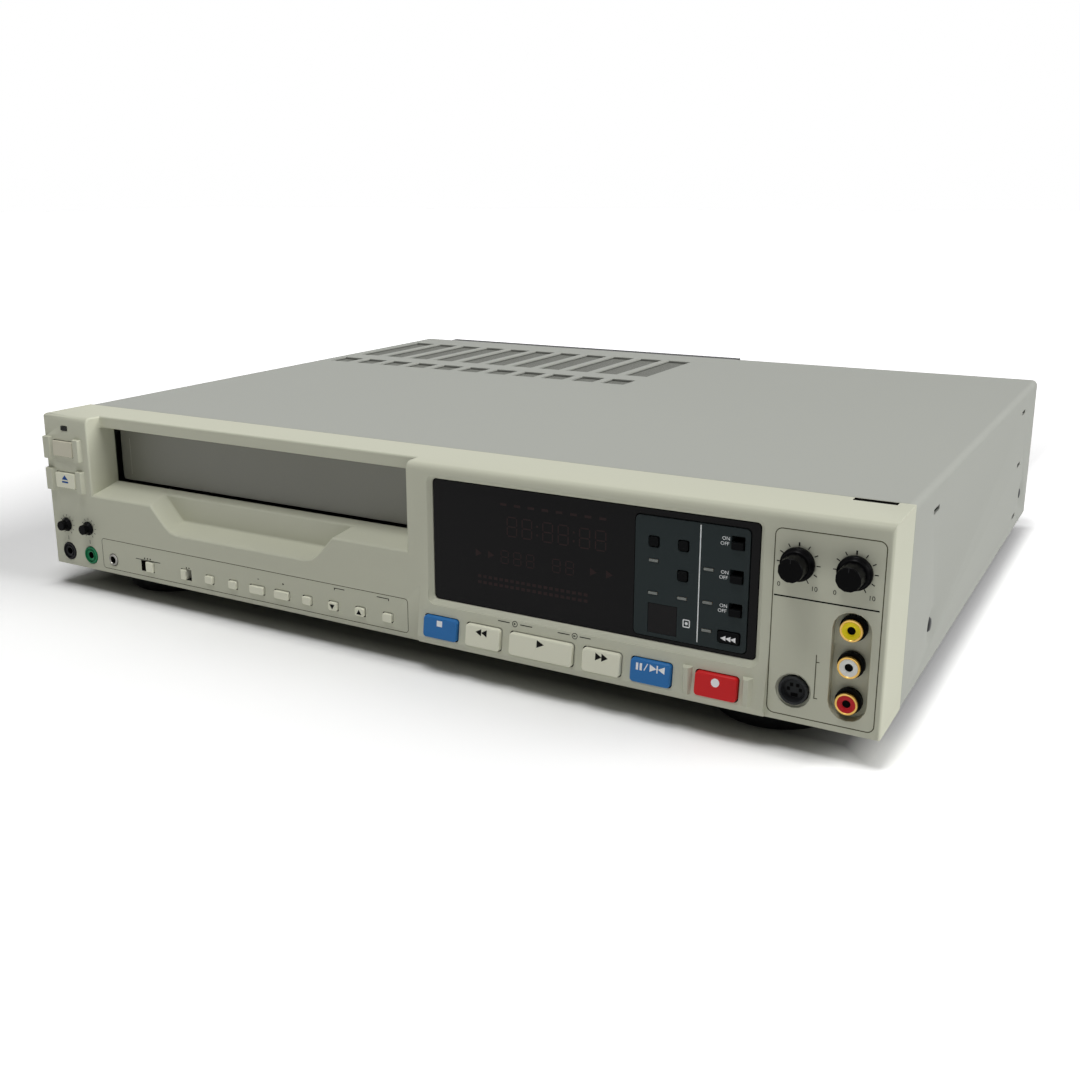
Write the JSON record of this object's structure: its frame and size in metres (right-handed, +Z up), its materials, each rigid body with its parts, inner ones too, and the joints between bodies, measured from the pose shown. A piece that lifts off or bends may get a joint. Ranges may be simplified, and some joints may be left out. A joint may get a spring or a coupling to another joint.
{
  "type": "video cassette recorder",
  "caption": "Front-loading video cassette recorder: flap door, cassette carriage and tape deck inside, keys that press, knobs that turn, sockets front and rear, round feet.",
  "frame": {"origin": "on the floor plane, under the middle of the outline seen from above", "axes": "+X to the right seen from the front, +Y from the front towards the back, +Z up"},
  "size_m": [0.43, 0.381, 0.0918],
  "materials": {
    "bezel_plastic": "fine-grained warm grey plastic",
    "key_plastic": "satin light grey plastic",
    "blue_plastic": "satin blue plastic",
    "red_plastic": "satin red plastic",
    "black_plastic": "satin black plastic",
    "slate_plastic": "satin slate plastic",
    "green_plastic": "satin green plastic",
    "smoked_window": "polished smoked acrylic",
    "door_paint": "satin metallic grey paint",
    "cover_paint": "fine-textured light grey paint",
    "screen_grey": "grey woven screen",
    "zinc_steel": "zinc-plated sheet",
    "plated_steel": "nickel-plated",
    "gold_plate": "gold-plated",
    "aluminium": "turned and polished",
    "rubber": "matte",
    "board_green": "solder-masked circuit board",
    "board_brown": "bare phenolic circuit board",
    "white_plastic": "satin white plastic"
  },
  "bodies": {
    "case": {"front_bezel": "bezel_plastic", "display_window": "smoked_window", "switch_panel": "slate_plastic", "front_board": "board_green", "mic_jack": "black_plastic", "phones_jack": "green_plastic", "control_jack": "plated_steel", "line_jacks": "gold_plate", "s_video_jack": "black_plastic", "top_cover": "cover_paint", "vent_screen": "screen_grey", "bottom_chassis": "zinc_steel", "rear_panel": "black_plastic", "rear_terminals": "gold_plate", "front_left_foot": "rubber", "front_right_foot": "rubber", "rear_left_foot": "rubber", "rear_right_foot": "rubber", "transport_deck": "zinc_steel", "lower_drum": "aluminium", "carriage_frame": "zinc_steel", "main_board": "board_green", "power_supply": "board_brown"},
    "power_button": {"power_button": "key_plastic"},
    "eject_button": {"eject_button": "key_plastic"},
    "timer_button": {"timer_button": "key_plastic"},
    "quick_timer_button": {"quick_timer_button": "key_plastic"},
    "channel_down_button": {"channel_down_button": "key_plastic"},
    "channel_up_button": {"channel_up_button": "key_plastic"},
    "antenna_button": {"antenna_button": "key_plastic"},
    "tracking_down_button": {"tracking_down_button": "key_plastic"},
    "tracking_up_button": {"tracking_up_button": "key_plastic"},
    "auto_manual_button": {"auto_manual_button": "key_plastic"},
    "stop_button": {"stop_button": "blue_plastic"},
    "rewind_button": {"rewind_button": "key_plastic"},
    "play_button": {"play_button": "key_plastic"},
    "fast_forward_button": {"fast_forward_button": "key_plastic"},
    "pause_button": {"pause_button": "blue_plastic"},
    "record_button": {"record_button": "red_plastic"},
    "input_select_button": {"input_select_button": "slate_plastic"},
    "rec_mode_button": {"rec_mode_button": "slate_plastic"},
    "edit_button": {"edit_button": "slate_plastic"},
    "fast_rewind_button": {"fast_rewind_button": "slate_plastic"},
    "command_mode_switch": {"command_mode_switch": "key_plastic"},
    "tape_format_switch": {"tape_format_switch": "key_plastic"},
    "power_on_play_switch": {"power_on_play_switch": "black_plastic"},
    "auto_repeat_switch": {"auto_repeat_switch": "black_plastic"},
    "key_inhibit_switch": {"key_inhibit_switch": "black_plastic"},
    "mic_level_knob": {"mic_level_knob": "black_plastic"},
    "phones_level_knob": {"phones_level_knob": "black_plastic"},
    "rec_level_left_knob": {"rec_level_left_knob": "black_plastic"},
    "rec_level_right_knob": {"rec_level_right_knob": "black_plastic"},
    "cassette_door": {"cassette_door": "door_paint"},
    "upper_drum": {"upper_drum": "aluminium"},
    "capstan": {"capstan": "plated_steel"},
    "supply_reel": {"supply_reel": "white_plastic"},
    "takeup_reel": {"takeup_reel": "white_plastic"},
    "carriage_slider": {"carriage_slider": "black_plastic"},
    "cassette_holder": {"cassette_holder": "zinc_steel"},
    "loading_pinion": {"loading_pinion": "white_plastic"}
  },
  "joints": [
    {"name": "power_press", "type": "slide", "parent": "case", "child": "power_button", "axis": [0, 1, 0], "range_m": [0, 0.0012], "stiffness_N_per_m": 500, "springref_m": -0.002},
    {"name": "eject_press", "type": "slide", "parent": "case", "child": "eject_button", "axis": [0, 1, 0], "range_m": [0, 0.0012], "stiffness_N_per_m": 500, "springref_m": -0.002},
    {"name": "timer_press", "type": "slide", "parent": "case", "child": "timer_button", "axis": [0, 1, 0], "range_m": [0, 0.0008], "stiffness_N_per_m": 500, "springref_m": -0.002},
    {"name": "quick_timer_press", "type": "slide", "parent": "case", "child": "quick_timer_button", "axis": [0, 1, 0], "range_m": [0, 0.0008], "stiffness_N_per_m": 500, "springref_m": -0.002},
    {"name": "channel_down_press", "type": "slide", "parent": "case", "child": "channel_down_button", "axis": [0, 1, 0], "range_m": [0, 0.0008], "stiffness_N_per_m": 500, "springref_m": -0.002},
    {"name": "channel_up_press", "type": "slide", "parent": "case", "child": "channel_up_button", "axis": [0, 1, 0], "range_m": [0, 0.0008], "stiffness_N_per_m": 500, "springref_m": -0.002},
    {"name": "antenna_press", "type": "slide", "parent": "case", "child": "antenna_button", "axis": [0, 1, 0], "range_m": [0, 0.0008], "stiffness_N_per_m": 500, "springref_m": -0.002},
    {"name": "tracking_down_press", "type": "slide", "parent": "case", "child": "tracking_down_button", "axis": [0, 1, 0], "range_m": [0, 0.0008], "stiffness_N_per_m": 500, "springref_m": -0.002},
    {"name": "tracking_up_press", "type": "slide", "parent": "case", "child": "tracking_up_button", "axis": [0, 1, 0], "range_m": [0, 0.0008], "stiffness_N_per_m": 500, "springref_m": -0.002},
    {"name": "auto_manual_press", "type": "slide", "parent": "case", "child": "auto_manual_button", "axis": [0, 1, 0], "range_m": [0, 0.0008], "stiffness_N_per_m": 500, "springref_m": -0.002},
    {"name": "stop_press", "type": "slide", "parent": "case", "child": "stop_button", "axis": [0, 1, 0], "range_m": [0, 0.0012], "stiffness_N_per_m": 500, "springref_m": -0.002},
    {"name": "rewind_press", "type": "slide", "parent": "case", "child": "rewind_button", "axis": [0, 1, 0], "range_m": [0, 0.0012], "stiffness_N_per_m": 500, "springref_m": -0.002},
    {"name": "play_press", "type": "slide", "parent": "case", "child": "play_button", "axis": [0, 1, 0], "range_m": [0, 0.0012], "stiffness_N_per_m": 500, "springref_m": -0.002},
    {"name": "fast_forward_press", "type": "slide", "parent": "case", "child": "fast_forward_button", "axis": [0, 1, 0], "range_m": [0, 0.0012], "stiffness_N_per_m": 500, "springref_m": -0.002},
    {"name": "pause_press", "type": "slide", "parent": "case", "child": "pause_button", "axis": [0, 1, 0], "range_m": [0, 0.0012], "stiffness_N_per_m": 500, "springref_m": -0.002},
    {"name": "record_press", "type": "slide", "parent": "case", "child": "record_button", "axis": [0, 1, 0], "range_m": [0, 0.0012], "stiffness_N_per_m": 500, "springref_m": -0.002},
    {"name": "input_select_press", "type": "slide", "parent": "case", "child": "input_select_button", "axis": [0, 1, 0], "range_m": [0, 0.0008], "stiffness_N_per_m": 500, "springref_m": -0.002},
    {"name": "rec_mode_press", "type": "slide", "parent": "case", "child": "rec_mode_button", "axis": [0, 1, 0], "range_m": [0, 0.0008], "stiffness_N_per_m": 500, "springref_m": -0.002},
    {"name": "edit_press", "type": "slide", "parent": "case", "child": "edit_button", "axis": [0, 1, 0], "range_m": [0, 0.0008], "stiffness_N_per_m": 500, "springref_m": -0.002},
    {"name": "fast_rewind_press", "type": "slide", "parent": "case", "child": "fast_rewind_button", "axis": [0, 1, 0], "range_m": [0, 0.0008], "stiffness_N_per_m": 500, "springref_m": -0.002},
    {"name": "command_mode_slide", "type": "slide", "parent": "case", "child": "command_mode_switch", "axis": [1, 0, 0], "range_m": [-0.0035, 0]},
    {"name": "tape_format_slide", "type": "slide", "parent": "case", "child": "tape_format_switch", "axis": [1, 0, 0], "range_m": [0, 0.0028]},
    {"name": "power_on_play_slide", "type": "slide", "parent": "case", "child": "power_on_play_switch", "axis": [0, 0, 1], "range_m": [0, 0.002]},
    {"name": "auto_repeat_slide", "type": "slide", "parent": "case", "child": "auto_repeat_switch", "axis": [0, 0, 1], "range_m": [0, 0.002]},
    {"name": "key_inhibit_slide", "type": "slide", "parent": "case", "child": "key_inhibit_switch", "axis": [0, 0, 1], "range_m": [0, 0.002]},
    {"name": "mic_level_turn", "type": "hinge", "parent": "case", "child": "mic_level_knob", "pos_m": [-0.204, -0.1805, 0.0341], "axis": [0, 1, 0], "range_deg": [-150, 150]},
    {"name": "phones_level_turn", "type": "hinge", "parent": "case", "child": "phones_level_knob", "pos_m": [-0.1879, -0.1805, 0.0341], "axis": [0, 1, 0], "range_deg": [-150, 150]},
    {"name": "rec_level_left_turn", "type": "hinge", "parent": "case", "child": "rec_level_left_knob", "pos_m": [0.1823, -0.1805, 0.0732], "axis": [0, 1, 0], "range_deg": [-150, 150]},
    {"name": "rec_level_right_turn", "type": "hinge", "parent": "case", "child": "rec_level_right_knob", "pos_m": [0.2025, -0.1805, 0.0732], "axis": [0, 1, 0], "range_deg": [-150, 150]},
    {"name": "door_swing", "type": "hinge", "parent": "case", "child": "cassette_door", "pos_m": [-0.08525, -0.1595, 0.087], "axis": [1, 0, 0], "range_deg": [0, 86], "stiffness_Nm_per_rad": 0.01, "springref_deg": -28.65},
    {"name": "carriage_run", "type": "slide", "parent": "case", "child": "carriage_slider", "axis": [0, 1, 0], "range_m": [0, 0.056]},
    {"name": "holder_drop", "type": "slide", "parent": "carriage_slider", "child": "cassette_holder", "axis": [0, 0, -1], "range_m": [0, 0.016]},
    {"name": "pinion_turn", "type": "hinge", "parent": "case", "child": "loading_pinion", "pos_m": [0.0134, -0.067, 0.053], "axis": [1, 0, 0], "range_deg": [-401.2, 0]},
    {"name": "drum_spin", "type": "hinge", "parent": "case", "child": "upper_drum", "pos_m": [-0.08525, 0.0385, 0.0381], "axis": [-0.1037, 0, 0.9946], "continuous": true},
    {"name": "capstan_spin", "type": "hinge", "parent": "case", "child": "capstan", "pos_m": [-0.02525, 0.0055, 0.032], "axis": [0, 0, 1], "continuous": true},
    {"name": "supply_spin", "type": "hinge", "parent": "case", "child": "supply_reel", "pos_m": [-0.13125, -0.0685, 0.037], "axis": [0, 0, 1], "continuous": true},
    {"name": "takeup_spin", "type": "hinge", "parent": "case", "child": "takeup_reel", "pos_m": [-0.03925, -0.0685, 0.037], "axis": [0, 0, 1], "continuous": true}
  ],
  "couplings": [
    {"joint": "pinion_turn", "follows": "carriage_run", "rad_per_m": -125}
  ]
}
